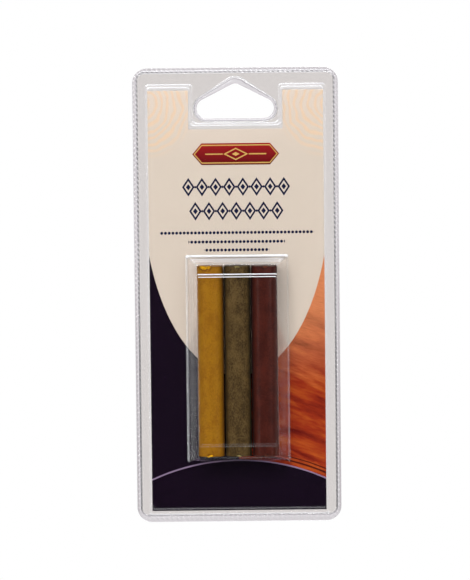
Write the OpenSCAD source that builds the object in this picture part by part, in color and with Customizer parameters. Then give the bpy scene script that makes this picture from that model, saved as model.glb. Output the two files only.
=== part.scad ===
// Sealed hanging pack with three wax sticks for mending furniture.
// Two clear sheets are welded round the edge and round the hang hole, with a printed card between them.
// Millimetres. The pack hangs upright: X is to the right, Z is up and the front faces -Y.
// The origin is where a peg carries the pack, at the centre of the hang hole's top arc.

/* [Card] */
// Width of the printed card
card_w = 72.6; // [66:0.2:80]
// Height of the printed card
card_h = 175; // [160:1:190]
// Thickness of the card
card_t = 0.4; // [0.3:0.05:0.5]
// Free space beside the card, on each side
card_side_play = 0.45; // [0.2:0.05:0.8]
// Free space above the card's two ears
card_top_play = 1.95; // [0.5:0.05:3]
// Clearance under the card's lower edge
card_foot_clear = 0.15; // [0.1:0.05:0.5]
// Free space between the card and the sides of the notch
card_notch_side_play = 0.6; // [0.3:0.1:1.5]
// Free space between the card and the floor of the notch
card_notch_foot_play = 1.6; // [0.3:0.1:3]

/* [Wax sticks] */
// Width and depth of a stick
stick_size = 10.8; // [9:0.1:12]
// Length of a stick
stick_l = 79; // [70:1:88]
// Radius of a stick's four long edges
stick_edge_r = 3; // [1:0.1:4]
// Bevel round a stick's ends
stick_end_bevel = 0.6; // [0.2:0.1:1.5]
// Gap between neighbouring sticks
stick_gap = 0.4; // [0.2:0.05:1]
// Clearance behind and in front of the sticks
stick_clear = 0.15; // [0.1:0.05:0.5]
// Clearance at a stick's end when it rests or is pushed up
stick_end_clear = 0.1; // [0.05:0.05:0.5]
// How far a stick slides along the bubble
stick_travel = 0.6; // [0.4:0.1:1.5]

/* [Bubble] */
// Thickness of each clear sheet
sheet_t = 0.4; // [0.3:0.05:0.5]
// Clearance beside the row of sticks at the lands
bubble_side_clear = 0.2; // [0.1:0.05:1]
// How far each side wall leans in
side_draft = 3.9; // [2:0.1:5]
// How far each end wall leans in
end_draft = 2.7; // [1.5:0.1:4]
// Corner radius of the bubble in plan
bubble_corner_r = 1.5; // [1:0.1:3]
// Radius of the bubble's front edges, outside
bubble_edge_r = 0.8; // [0.6:0.1:1.5]
// Length of the land left at each end of the raised face
land_l = 4.3; // [2:0.1:8]
// Height of the raised face above the lands
face_rise = 1; // [0.5:0.1:2]
// Width of the step up to the raised face
face_run = 1.25; // [0.5:0.05:3]
// Inset of the raised face from the side walls
face_inset = 0.25; // [0.15:0.05:1]
// Height of the bubble's foot above the card's lower edge
bubble_above_card_foot = 21; // [10:0.5:30]

/* [Card pocket] */
// Free depth in front of the card
pocket_headroom = 0.6; // [0.3:0.05:1]
// Width of the pocket's side walls
pocket_side_run = 0.7; // [0.4:0.1:2]
// Width of the pocket's top walls
pocket_top_run = 1.5; // [0.5:0.1:2.5]
// Width of the pocket's bottom wall
pocket_foot_run = 2.6; // [1:0.1:3]
// Width of the walls round the notch
notch_run = 1; // [0.5:0.1:2]
// Corner radius of the pocket
pocket_corner_r = 2; // [1:0.1:4]
// Corner radius of the notch's floor
notch_corner_r = 2.6; // [2:0.1:4]

/* [Flange and welds] */
// Flat flange between the pocket and the side welds
flange_side = 3.45; // [1:0.05:6]
// Flat flange between the pocket and the top weld
flange_top = 4.7; // [3:0.1:6]
// Flat flange between the pocket and the bottom weld
flange_foot = 0.3; // [0.2:0.1:6]
// Width of the weld at the sides and the top
weld_w = 1.8; // [1.5:0.1:3]
// Width of the weld at the bottom
weld_foot_w = 2.8; // [1.5:0.1:5]
// Outer corner radius of the pack
pack_corner_r = 6.2; // [4.5:0.1:10]
// Inner corner radius of the weld
weld_inner_r = 3; // [2:0.1:4]
// Distance from the pack's edge to the knurled bead
bead_inset = 0.35; // [0.25:0.05:0.6]
// Width of the knurled bead
bead_w = 1; // [0.6:0.1:1.1]
// Height of the knurled bead above the sheet
bead_rise = 0.3; // [0.1:0.05:0.6]
// Pitch of the knurl
knurl_pitch = 2; // [1.5:0.1:3]
// Depth of the knurl
knurl_depth = 0.2; // [0.05:0.05:0.25]

/* [Hang hole] */
// Width of the hang hole
hole_w = 32; // [28:0.5:36]
// Height of the hang hole
hole_h = 14.4; // [12:0.1:18]
// Radius of the hang hole's two lower corners
hole_end_r = 4.15; // [2.5:0.05:4.5]
// Radius of the hang hole's top arc, which bears on the peg
hole_apex_r = 3.3; // [2:0.1:4]
// Width of the welded rim at the sides and the bottom
rim_w = 1.3; // [0.8:0.1:2]
// Width of the welded rim above the top arc
rim_apex_w = 2.6; // [1:0.1:3]
// Height of the welded rim above the sheet
rim_rise = 0.3; // [0.1:0.05:0.6]
// Flat sheet between the rim and the top weld
hang_flange = 2.2; // [1:0.1:4]
// Flat sheet between the rim and the sides of the notch
notch_flange_side = 0.4; // [0.2:0.1:2]
// Flat sheet between the rim and the floor of the notch
notch_flange_foot = 0.3; // [0.2:0.1:2]

/* [Hidden] */

$fn = 64;
// How far a cut runs past what it cuts
overrun = 1;
// Straight pieces in a rounded corner and in a rounded wall
corner_steps = 6;
wall_steps = 6;
edge_steps = 3;
// A straight side of an outline crosses its arcs at this share of their radius, just short of a tangent
side_share = 0.9995;
// The outer skin of a sloping wall stands out sideways by these shares of the sheet's thickness
pocket_skin_share = 0.5;
bubble_skin_share = 0.7;

// Heights above the plane where the two sheets meet, towards the front
pocket_rise = card_t + pocket_headroom;
stick_back = card_t + stick_clear;
land_rise = stick_back + stick_size + stick_clear;

// An S-shaped wall climbs by rise_share(t) of its rise over the share t of its run
function rise_share(t) = (1 - cos(180 * t)) / 2;
function run_share(h) = acos(1 - 2 * h) / 180;
// Share of a pocket wall's run that lies below the card's front face
card_share = run_share(card_t / pocket_rise);

// The pack's outline follows from the card and the hang hole, with the origin in the hole's top arc
pocket_skin = sheet_t * pocket_skin_share;
hole_bottom = hole_apex_r - hole_h;
hole_end_x = hole_w / 2 - hole_end_r;
pack_top = hole_apex_r + rim_apex_w + hang_flange + weld_w;
pocket_top = pack_top - weld_w - flange_top - pocket_skin;
card_top = pocket_top - pocket_top_run * card_share - card_top_play;
card_bottom = card_top - card_h;
pocket_bottom = card_bottom - card_foot_clear - pocket_foot_run * card_share;
pack_bottom = pocket_bottom - pocket_skin - flange_foot - weld_foot_w;
pocket_x = card_w / 2 + card_side_play + pocket_side_run * card_share;
pack_x = pocket_x + pocket_skin + flange_side + weld_w;
notch_x = hole_w / 2 + rim_w + notch_flange_side + pocket_skin;
notch_bottom = hole_bottom - rim_w - notch_flange_foot - pocket_skin;

// The bubble's cavity follows from the row of sticks
stick_pitch = stick_size + stick_gap;
land_x = stick_pitch + stick_size / 2 + bubble_side_clear;
land_y = (stick_l + stick_travel) / 2 + stick_end_clear;
bubble_y = card_bottom + bubble_above_card_foot + land_y + end_draft;
stick_bottom = bubble_y - land_y + stick_end_clear;

// Points on an arc, from one angle to another
function arc_points(centre, r, from, to) = [
    for (i = [0:corner_steps])
        let (a = from + (to - from) * i / corner_steps)
        centre + r * [cos(a), sin(a)]
];

// Outline of a rounded rectangle, counterclockwise, of half width x and half height y
function rect_ring(x, y, r) = concat(
    arc_points([r - x, r - y], r, 180, 270),
    arc_points([x - r, r - y], r, 270, 360),
    arc_points([x - r, y - r], r, 0, 90),
    arc_points([r - x, y - r], r, 90, 180)
);

// Outline of the card pocket at the share t of its walls' run, grown sideways by skin
function pocket_ring(t, skin) =
    let (
        x = pocket_x - pocket_side_run * t + skin,
        top = pocket_top - pocket_top_run * t + skin,
        bottom = pocket_bottom + pocket_foot_run * t - skin,
        inner_x = notch_x + notch_run * t - skin,
        floor_y = notch_bottom - notch_run * t + skin,
        r = pocket_corner_r + skin,
        floor_r = notch_corner_r - skin
    )
    concat(
        arc_points([r - x, bottom + r], r, 180, 270),
        arc_points([x - r, bottom + r], r, 270, 360),
        arc_points([x - r, top - r], r, 0, 90),
        arc_points([inner_x + r, top - r], r, 90, 180),
        arc_points([inner_x - floor_r, floor_y + floor_r], floor_r, 0, -90),
        arc_points([floor_r - inner_x, floor_y + floor_r], floor_r, 270, 180),
        arc_points([-inner_x - r, top - r], r, 0, 90),
        arc_points([r - x, top - r], r, 90, 180)
    );

// Share of the walls' draft that is left at a height
function lean(height) = (land_rise - height) / (land_rise - pocket_rise);

// Outline of the bubble at a height, drawn in by inset at its rounded edge
function bubble_ring(height, inset, skin) = rect_ring(
    land_x + side_draft * lean(height) - inset + skin,
    land_y + end_draft * lean(height) - inset + skin,
    bubble_corner_r + skin
);

// Outline of the raised face at a height and at the share t of its steps' run
function face_ring(t, height, skin) = rect_ring(
    land_x + side_draft * lean(height) - face_inset + skin,
    land_y - land_l - face_run * t + skin,
    bubble_corner_r + skin
);

// Triangles that fan out from a list's first point
function fan(ids) = [for (i = [1:len(ids) - 2]) [ids[0], ids[i], ids[i + 1]]];
function backwards(list) = [for (i = [len(list) - 1:-1:0]) list[i]];

// Point numbers of the pocket's outline in three parts, each seen whole from its first point:
// below the notch, to its right and to its left
corner_points = corner_steps + 1;
pocket_parts = [
    [for (i = [0:2 * corner_points - 1]) i, 5 * corner_points - 1, 5 * corner_points],
    [for (i = [2 * corner_points - 1:5 * corner_points - 1]) i],
    [0, for (i = [5 * corner_points:8 * corner_points - 1]) i]
];

// A solid through a stack of outlines, each with its own height. The parts divide its flat ends.
module loft(rings, heights, parts) {
    count = len(rings[0]);
    last = len(rings) - 1;
    ends = is_undef(parts) ? [[for (i = [0:count - 1]) i]] : parts;
    triangles = [for (part = ends) each fan(part)];
    polyhedron(
        points = [for (k = [0:last]) for (p = rings[k]) [p[0], p[1], heights[k]]],
        faces = concat(
            triangles,
            [
                for (k = [0:last - 1]) for (i = [0:count - 1]) for (half = [0, 1])
                    let (
                        low = k * count,
                        high = low + count,
                        j = (i + 1) % count
                    )
                    half == 0 ? [low + i, high + i, high + j] : [low + i, high + j, low + j]
            ],
            [for (t = triangles) backwards([for (i = t) last * count + i])]
        )
    );
}

// The shallow pocket over the card, as a solid of its outer skin or of its cavity
module pocket_solid(lift, skin, sink) {
    shares = [for (i = [0:wall_steps]) i / wall_steps];
    loft(
        concat([pocket_ring(0, skin)], [for (t = shares) pocket_ring(t, skin)]),
        concat([lift - sink], [for (t = shares) lift + pocket_rise * rise_share(t)]),
        pocket_parts
    );
}

// The deep bubble up to its lands, with rounded front edges
module bubble_solid(lift, skin, edge_r) {
    angles = [for (i = [0:edge_steps]) 90 * i / edge_steps];
    edge_heights = [for (a = angles) land_rise - edge_r * (1 - sin(a))];
    insets = [for (a = angles) edge_r * (1 - cos(a))];
    foot = pocket_rise / 2;
    translate([0, bubble_y, lift])
        loft(
            concat(
                [bubble_ring(foot, 0, skin)],
                [for (i = [0:edge_steps]) bubble_ring(edge_heights[i], insets[i], skin)]
            ),
            concat([foot], edge_heights)
        );
}

// The raised middle of the bubble's face
module face_solid(lift, skin) {
    shares = [for (i = [0:wall_steps]) i / wall_steps];
    sunk = land_rise - face_rise;
    heights = [for (t = shares) land_rise + face_rise * rise_share(t)];
    translate([0, bubble_y, lift])
        loft(
            concat(
                [face_ring(0, sunk, skin)],
                [for (i = [0:wall_steps]) face_ring(shares[i], heights[i], skin)]
            ),
            concat([sunk], heights)
        );
}

// All that bulges from the front sheet, as its cavity or, with a thickness, as its outer skin
module bulge(thickness, edge_r, sink) {
    bubble_skin = thickness * bubble_skin_share;
    pocket_solid(thickness, thickness * pocket_skin_share, sink);
    bubble_solid(thickness, bubble_skin, edge_r);
    face_solid(thickness, bubble_skin);
}

// Outward direction of the straight side between two arcs, which touches both
function side_normal(a, b, a_r, b_r) =
    let (turned = atan2(b[1] - a[1], b[0] - a[0]) - acos((a_r - b_r) / norm(b - a)))
    [cos(turned), sin(turned)];

// An outline of arcs, counterclockwise, with a straight side from each to the next
module rounded_outline(centres, radii) {
    last = len(centres) - 1;
    polygon([
        for (i = [0:last])
            let (
                j = i == last ? 0 : i + 1,
                normal = side_share * side_normal(centres[i], centres[j], radii[i], radii[j])
            )
            each [centres[i] + radii[i] * normal, centres[j] + radii[j] * normal]
    ]);
    for (i = [0:last])
        translate(centres[i])
            circle(radii[i]);
}

// A rounded rectangle about the middle line
module rounded_rect(x, bottom, top, r) {
    rounded_outline(
        [[r - x, bottom + r], [x - r, bottom + r], [x - r, top - r], [r - x, top - r]],
        [r, r, r, r]
    );
}

// The hang hole's outline, grown by side at its lower corners and by apex at its top
module hang_outline(side, apex) {
    low_y = hole_bottom + hole_end_r;
    rounded_outline(
        [[-hole_end_x, low_y], [hole_end_x, low_y], [0, 0]],
        [hole_end_r + side, hole_end_r + side, hole_apex_r + apex]
    );
}

module pack_outline() {
    rounded_rect(pack_x, pack_bottom, pack_top, pack_corner_r);
}

// What lies inside the edge weld
module sheet_outline() {
    rounded_rect(pack_x - weld_w, pack_bottom + weld_foot_w, pack_top - weld_w, weld_inner_r);
}

// A flat sheet inside the edge weld, open at the hang hole's rim
module flat_sheet() {
    linear_extrude(sheet_t)
        difference() {
            sheet_outline();
            hang_outline(rim_w, rim_apex_w);
        }
}

// Turns what is drawn lying on its back to hang upright
module upright() {
    rotate([90, 0, 0])
        children();
}

module front_shell() {
    color([0.86, 0.88, 0.9, 0.35])
        upright()
            difference() {
                union() {
                    flat_sheet();
                    bulge(sheet_t, bubble_edge_r, sheet_t / 2);
                }
                bulge(0, bubble_edge_r - sheet_t, overrun);
            }
}

module back_shell() {
    color([0.84, 0.86, 0.88, 0.35])
        upright()
            translate([0, 0, -sheet_t])
                flat_sheet();
}

module card_insert() {
    ear_x = notch_x + notch_run + card_notch_side_play;
    floor_y = notch_bottom - notch_run - card_notch_foot_play;
    color([0.9, 0.84, 0.76])
        upright()
            linear_extrude(card_t)
                polygon([
                    [-card_w / 2, card_bottom], [card_w / 2, card_bottom], [card_w / 2, card_top],
                    [ear_x, card_top], [ear_x, floor_y], [-ear_x, floor_y],
                    [-ear_x, card_top], [-card_w / 2, card_top]
                ]);
}

// Lengths round the pack's edge, counterclockwise from the left end of the bottom side
corner_run = PI * pack_corner_r / 2;
side_runs = [
    2 * (pack_x - pack_corner_r), pack_top - pack_bottom - 2 * pack_corner_r,
    2 * (pack_x - pack_corner_r), pack_top - pack_bottom - 2 * pack_corner_r
];
side_starts = [
    0, side_runs[0] + corner_run,
    side_runs[0] + side_runs[1] + 2 * corner_run,
    side_runs[0] + side_runs[1] + side_runs[2] + 3 * corner_run
];
edge_run = side_starts[3] + side_runs[3] + corner_run;
corner_centres = [
    [pack_corner_r - pack_x, pack_bottom + pack_corner_r],
    [pack_x - pack_corner_r, pack_bottom + pack_corner_r],
    [pack_x - pack_corner_r, pack_top - pack_corner_r],
    [pack_corner_r - pack_x, pack_top - pack_corner_r]
];

// A point inside the pack's edge, at a distance along it
function edge_point(along, inset) =
    let (
        side = len([for (s = side_starts) if (s <= along) s]) - 1,
        on_side = along - side_starts[side],
        facing = 90 * side - 90,
        past = max(0, on_side - side_runs[side]) / corner_run,
        turned = facing + 90 * past,
        centre = corner_centres[past > 0 ? (side + 1) % 4 : side],
        ahead = past > 0 ? 0 : on_side
    )
    centre + (pack_corner_r - inset) * [cos(turned), sin(turned)] + ahead * [cos(facing + 90), sin(facing + 90)];

// One edge of the knurled bead, in and out by the knurl's depth
knurl_steps = 2 * round(edge_run / knurl_pitch);
function knurled_edge(inset, swing) = [
    for (i = [0:knurl_steps - 1])
        edge_point(edge_run * i / knurl_steps, inset + (i % 2 == 0 ? swing : -swing))
];

module perimeter_weld() {
    color([0.9, 0.9, 0.92, 0.7])
        upright() {
            translate([0, 0, -sheet_t])
                linear_extrude(2 * sheet_t)
                    difference() {
                        pack_outline();
                        sheet_outline();
                    }
            linear_extrude(sheet_t + bead_rise)
                difference() {
                    polygon(knurled_edge(bead_inset, knurl_depth));
                    polygon(knurled_edge(bead_inset + bead_w, -knurl_depth));
                }
        }
}

module hang_hole_weld() {
    color([0.9, 0.9, 0.92, 0.7])
        upright()
            translate([0, 0, -sheet_t])
                linear_extrude(2 * sheet_t + rim_rise)
                    difference() {
                        hang_outline(rim_w, rim_apex_w);
                        hang_outline(0, 0);
                    }
}

// A wax stick in its place in the row, counted from the middle one, with rounded edges and bevelled ends
module wax_stick(place) {
    half = stick_size / 2;
    end_half = half - stick_end_bevel;
    body = rect_ring(half, half, stick_edge_r);
    end = rect_ring(end_half, end_half, stick_edge_r - stick_end_bevel / 2);
    translate([place * stick_pitch, -stick_back - half, stick_bottom])
        loft(
            [end, body, body, end],
            [0, stick_end_bevel, stick_l - stick_end_bevel, stick_l]
        );
}

module ochre_stick() {
    color([0.6, 0.4, 0.1])
        wax_stick(-1);
}

module olive_stick() {
    color([0.31, 0.25, 0.14])
        wax_stick(0);
}

module mahogany_stick() {
    color([0.26, 0.1, 0.07])
        wax_stick(1);
}

front_shell();
back_shell();
card_insert();
perimeter_weld();
hang_hole_weld();
ochre_stick();
olive_stick();
mahogany_stick();
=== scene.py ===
import math

import bmesh
import bpy
from mathutils import Matrix, Vector, noise


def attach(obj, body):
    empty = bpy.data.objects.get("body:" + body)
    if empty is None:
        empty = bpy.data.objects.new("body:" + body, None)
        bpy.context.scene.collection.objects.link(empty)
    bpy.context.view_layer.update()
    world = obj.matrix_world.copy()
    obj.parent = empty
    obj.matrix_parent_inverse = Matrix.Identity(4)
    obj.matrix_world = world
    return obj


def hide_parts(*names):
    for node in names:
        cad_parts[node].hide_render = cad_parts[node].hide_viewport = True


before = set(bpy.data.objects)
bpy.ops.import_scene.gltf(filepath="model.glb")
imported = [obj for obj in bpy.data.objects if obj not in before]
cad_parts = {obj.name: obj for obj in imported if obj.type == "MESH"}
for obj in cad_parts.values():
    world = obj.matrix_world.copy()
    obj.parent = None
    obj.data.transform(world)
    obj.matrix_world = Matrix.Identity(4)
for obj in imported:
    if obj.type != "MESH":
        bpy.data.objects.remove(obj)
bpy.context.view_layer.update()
mm = 0.001
print("frame loaded:", len(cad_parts), "nodes")


# helpers for colours and nodes

def ink(red, green, blue):  # a colour as a screen shows it, 0 to 255, for a linear colour socket
    parts = [c / 255 for c in (red, green, blue)]
    return (*[c / 12.92 if c < 0.04 else ((c + 0.055) / 1.055) ** 2.4 for c in parts], 1.0)


def put(tree, kind, feeds=None, **settings):  # a node with its settings, and values or links on its inputs
    made = tree.nodes.new("ShaderNode" + kind)
    for name, setting in settings.items():
        setattr(made, name, setting)
    for name, item in (feeds or {}).items():
        if isinstance(item, bpy.types.NodeSocket):
            tree.links.new(item, made.inputs[name])
        else:
            made.inputs[name].default_value = item
    return made


def maths(tree, operation, *items):
    return put(tree, "Math", dict(enumerate(items)), operation=operation).outputs[0]


def layer(tree, under, over, mask):  # one colour over another where the mask is 1
    mixed = put(tree, "Mix", {0: mask, 6: under, 7: over}, data_type="RGBA")
    return mixed.outputs[2]


def spread(tree, value, low, high, first=0.0, last=1.0):  # remaps a value and clamps it
    feeds = {"Value": value, "From Min": low, "From Max": high, "To Min": first, "To Max": last}
    return put(tree, "MapRange", feeds).outputs["Result"]


def within(tree, distance, soft=0.06):  # 1 where a signed distance is below zero
    return spread(tree, distance, -soft, soft, 1.0, 0.0)


def newMaterial(name):
    material = bpy.data.materials.new(name)
    material.use_nodes = True
    material.node_tree.nodes.clear()
    return material, material.node_tree


def finishMaterial(tree, shader):
    tree.links.new(shader.outputs[0], put(tree, "OutputMaterial").inputs["Surface"])


def objectMillimetres(tree):  # the piece's own coordinates, in millimetres
    place = put(tree, "TexCoord").outputs["Object"]
    return put(tree, "Mapping", {"Vector": place, "Scale": (1000, 1000, 1000)}).outputs["Vector"]


# camera, lamps, world and floor

photoCamera = {
    "aim": (-0.9, 0.0, -82.33),  # mm, seen in the middle of the picture
    "distance": 1700,
    "elevation": 5.0,
    "roll": -0.62,
    "lens": 254.3,
    "sensor": 36,
    "clip": (0.05, 20),  # m
}


def addCamera(look):
    data = bpy.data.cameras.new("photoCamera")
    data.sensor_fit = "VERTICAL"
    data.sensor_width = data.sensor_height = look["sensor"]
    data.lens = look["lens"]
    data.clip_start, data.clip_end = look["clip"]
    camera = bpy.data.objects.new("photoCamera", data)
    bpy.context.scene.collection.objects.link(camera)
    tilt = math.radians(look["elevation"])
    away = Vector((0, -math.cos(tilt), math.sin(tilt))) * look["distance"]
    camera.matrix_world = (
        Matrix.Translation((Vector(look["aim"]) + away) * mm)
        @ Matrix.Rotation(math.pi / 2 - tilt, 4, "X")
        @ Matrix.Rotation(math.radians(look["roll"]), 4, "Z")
    )
    bpy.context.scene.camera = camera


studio = {
    "middle": (0, 0, -85),
    "lamps": {  # place in mm, width and height in mm, watts
        "keyLamp": ((-400, -920, 480), (420, 420), 7.2),
        "fillLamp": ((620, -960, 200), (560, 560), 2.15),
        "topLamp": ((-40, -640, 560), (760, 90), 3.4),
        "leftStrip": ((-820, -860, -100), (70, 620), 1.0),
        "rightStrip": ((820, -860, -100), (70, 620), 0.5),
        "backLamp": ((300, 980, 420), (620, 620), 12.0),
    },
    "plainLight": 0.22,  # what the room gives from all round
    "frontLight": 0.006,  # what gloss mirrors of the room in front
    "floorLevel": -262,
    "floorRadius": 330,
    "floorFade": (130, 310),  # from here to here, from its middle, the floor turns to white
    "floorColour": ink(226, 225, 222),
    "floorInGloss": ink(34, 35, 40),  # as the clear sheets mirror it
    "whiteBehind": (-0.2, 0.1),  # gloss mirrors the white backdrop where it looks back, along Y
}


def addLamp(name, place, size, watts):
    data = bpy.data.lights.new(name, "AREA")
    data.shape = "RECTANGLE"
    data.size, data.size_y = size[0] * mm, size[1] * mm
    data.energy = watts
    lamp = bpy.data.objects.new(name, data)
    bpy.context.scene.collection.objects.link(lamp)
    lamp.location = Vector(place) * mm
    facing = (Vector(studio["middle"]) - Vector(place)).normalized()
    lamp.rotation_mode = "QUATERNION"
    lamp.rotation_quaternion = facing.to_track_quat("-Z", "Y")
    lamp.visible_camera = False


def addWorld(look):  # white behind the object for the camera, plain light on it
    world = bpy.data.worlds.new("studioWorld")
    world.use_nodes = True
    tree = world.node_tree
    tree.nodes.clear()
    path = put(tree, "LightPath")
    heading = put(tree, "SeparateXYZ", {0: put(tree, "TexCoord").outputs["Generated"]})
    behind = spread(tree, heading.outputs["Y"], *look["whiteBehind"])
    mirrored = maths(tree, "MULTIPLY", path.outputs["Is Glossy Ray"], behind)
    seen = maths(tree, "MAXIMUM", path.outputs["Is Camera Ray"], path.outputs["Is Transmission Ray"])
    white = maths(tree, "MAXIMUM", seen, mirrored)
    plain = put(tree, "Mix", {0: path.outputs["Is Glossy Ray"], 2: look["plainLight"], 3: look["frontLight"]})
    room = put(tree, "Background", {"Color": (1, 1, 1, 1), "Strength": plain.outputs[0]})
    backdrop = put(tree, "Background", {"Color": (1, 1, 1, 1), "Strength": 1.0})
    mixed = put(tree, "MixShader", {0: white, 1: room.outputs[0], 2: backdrop.outputs[0]})
    tree.links.new(mixed.outputs[0], put(tree, "OutputWorld").inputs["Surface"])
    bpy.context.scene.world = world


def addFloor(look):  # a pale disc that fades to the white backdrop at its rim
    bm = bmesh.new()
    bmesh.ops.create_circle(bm, cap_ends=True, radius=look["floorRadius"] * mm, segments=96)
    bmesh.ops.translate(bm, vec=(0, 0, look["floorLevel"] * mm), verts=bm.verts)
    floor = newPiece("studioFloor", bm)
    material, tree = newMaterial("paleFloor")
    place = put(tree, "VectorMath", {0: objectMillimetres(tree), 1: (1, 1, 0)}, operation="MULTIPLY")
    away = put(tree, "VectorMath", {0: place.outputs[0]}, operation="LENGTH").outputs["Value"]
    fade = spread(tree, away, *look["floorFade"])
    seen = maths(tree, "MULTIPLY", put(tree, "LightPath").outputs["Is Camera Ray"], fade)
    mirrored = put(tree, "LightPath").outputs["Is Glossy Ray"]
    colour = layer(tree, look["floorColour"], look["floorInGloss"], mirrored)
    pale = put(tree, "BsdfDiffuse", {"Color": colour})
    white = put(tree, "Emission", {"Color": (1, 1, 1, 1), "Strength": 1.0})
    finishMaterial(tree, put(tree, "MixShader", {0: seen, 1: pale.outputs[0], 2: white.outputs[0]}))
    floor.data.materials.append(material)


# helpers for meshes

def newPiece(name, bm, *materials):
    mesh = bpy.data.meshes.new(name)
    bm.to_mesh(mesh)
    bm.free()
    for material in materials:
        mesh.materials.append(material)
    piece = bpy.data.objects.new(name, mesh)
    bpy.context.scene.collection.objects.link(piece)
    return piece


def smoothPiece(piece, sharpAngle):  # level faces keep their own normal
    piece.data.set_sharp_from_angle(angle=math.radians(sharpAngle))
    for face in piece.data.polygons:
        face.use_smooth = abs(face.normal.y) < 0.99999


def facesForward(bm):  # turns an open sheet so that its faces look to the front
    bmesh.ops.recalc_face_normals(bm, faces=bm.faces)
    if sum(f.normal.y * f.calc_area() for f in bm.faces) > 0:
        bmesh.ops.reverse_faces(bm, faces=bm.faces)


# outlines in the pack's own plane: arcs as (x, z, radius, first angle, last angle), counterclockwise, in mm

def boxArcs(halfWidth, bottom, top, radius):
    left, right = radius - halfWidth, halfWidth - radius
    return [
        (left, bottom + radius, radius, 180, 270),
        (right, bottom + radius, radius, 270, 360),
        (right, top - radius, radius, 0, 90),
        (left, top - radius, radius, 90, 180),
    ]


hangHole = {
    "ends": (11.85, -6.95),  # centre of a lower corner's arc
    "endRadius": 4.15,
    "topRadius": 3.3,
    "rim": 1.3,
    "topRim": 2.6,
    "gap": 0.04,  # the sheets stay clear of the rim's weld
}


def hangArcs(side, apex):  # the hang hole's outline, grown at its lower corners and at its top
    x, z = hangHole["ends"]
    centres = [(-x, z), (x, z), (0.0, 0.0)]
    radii = [hangHole["endRadius"] + side] * 2 + [hangHole["topRadius"] + apex]
    leaving = []
    for i in range(3):
        j = (i + 1) % 3
        run = Vector(centres[j]) - Vector(centres[i])
        turn = math.degrees(math.atan2(run.y, run.x))
        leaving.append(turn - math.degrees(math.acos((radii[i] - radii[j]) / run.length)))
    arcs = []
    for i in range(3):
        first, last = leaving[i - 1], leaving[i]
        while last < first:
            last += 360
        arcs.append((*centres[i], radii[i], first, last))
    return arcs


def sheetHoleArcs(side, apex):  # the hole in a sheet
    gap = hangHole["gap"]
    return hangArcs(hangHole["rim"] + gap + side, hangHole["topRim"] + gap + apex)


# how much painted highlight a bend gets, by the way its wall faces, and how much of a groove's painted shade
# is missing there
highlightLean = {"any": 0.08, "up": 0.90, "left": 0.13, "lowMitre": 0.4}
grooveFade = {"down": 0.7, "up": 0.45}


def groovePart(up):
    return 1 - grooveFade["down"] * max(0, -up) - grooveFade["up"] * max(0, up)


# a closed loop through the arcs, each spun: fold paints a highlight on it by the way it faces, mitre at its
# corners and low where it faces down, and dim paints shade on it
def arcLoop(bm, arcs, depth, steps, foldHighlight=0.0, mitre=0.0, low=0.0, dim=0.0):
    known = set(bm.edges)
    mark, shade = bm.verts.layers.float["foldHighlight"], bm.verts.layers.float["grooveShade"]
    ends, loop = [], []
    for x, z, radius, first, last in arcs:
        a = math.radians(first)
        start = bm.verts.new(((x + radius * math.cos(a)) * mm, -depth * mm, (z + radius * math.sin(a)) * mm))
        swept = bmesh.ops.spin(
            bm, geom=[start], cent=(x * mm, -depth * mm, z * mm), axis=(0, -1, 0),
            angle=math.radians(last - first), steps=steps,
        )
        ends.append((start, [v for v in swept["geom_last"] if isinstance(v, bmesh.types.BMVert)][0]))
        arcEdges = [e for e in bm.edges if e not in known]
        known.update(arcEdges)
        loop += arcEdges
        turn = math.copysign(1 / radius, last - first)
        for v in {v for e in arcEdges for v in e.verts}:
            left, up = (x - v.co.x / mm) * turn, (v.co.z / mm - z) * turn
            lean = highlightLean["any"] * (1 + min(0, up)) + highlightLean["up"] * max(0, up)
            lean += highlightLean["left"] * max(0, left)
            corner = 2 * abs(up * left) * (1.0 if up > 0 else highlightLean["lowMitre"])
            v[mark] = max(foldHighlight * lean, mitre * corner, low * max(0, -up))
            v[shade] = dim * groovePart(up)
    for i, (start, end) in enumerate(ends):
        loop.append(bm.edges.new((ends[i - 1][1], start)))
    return loop


def stackLoops(bm, loops):  # bridges each loop to the next
    for low, high in zip(loops, loops[1:]):
        bmesh.ops.bridge_loops(bm, edges=low + high)


# the clear sheets

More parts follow.
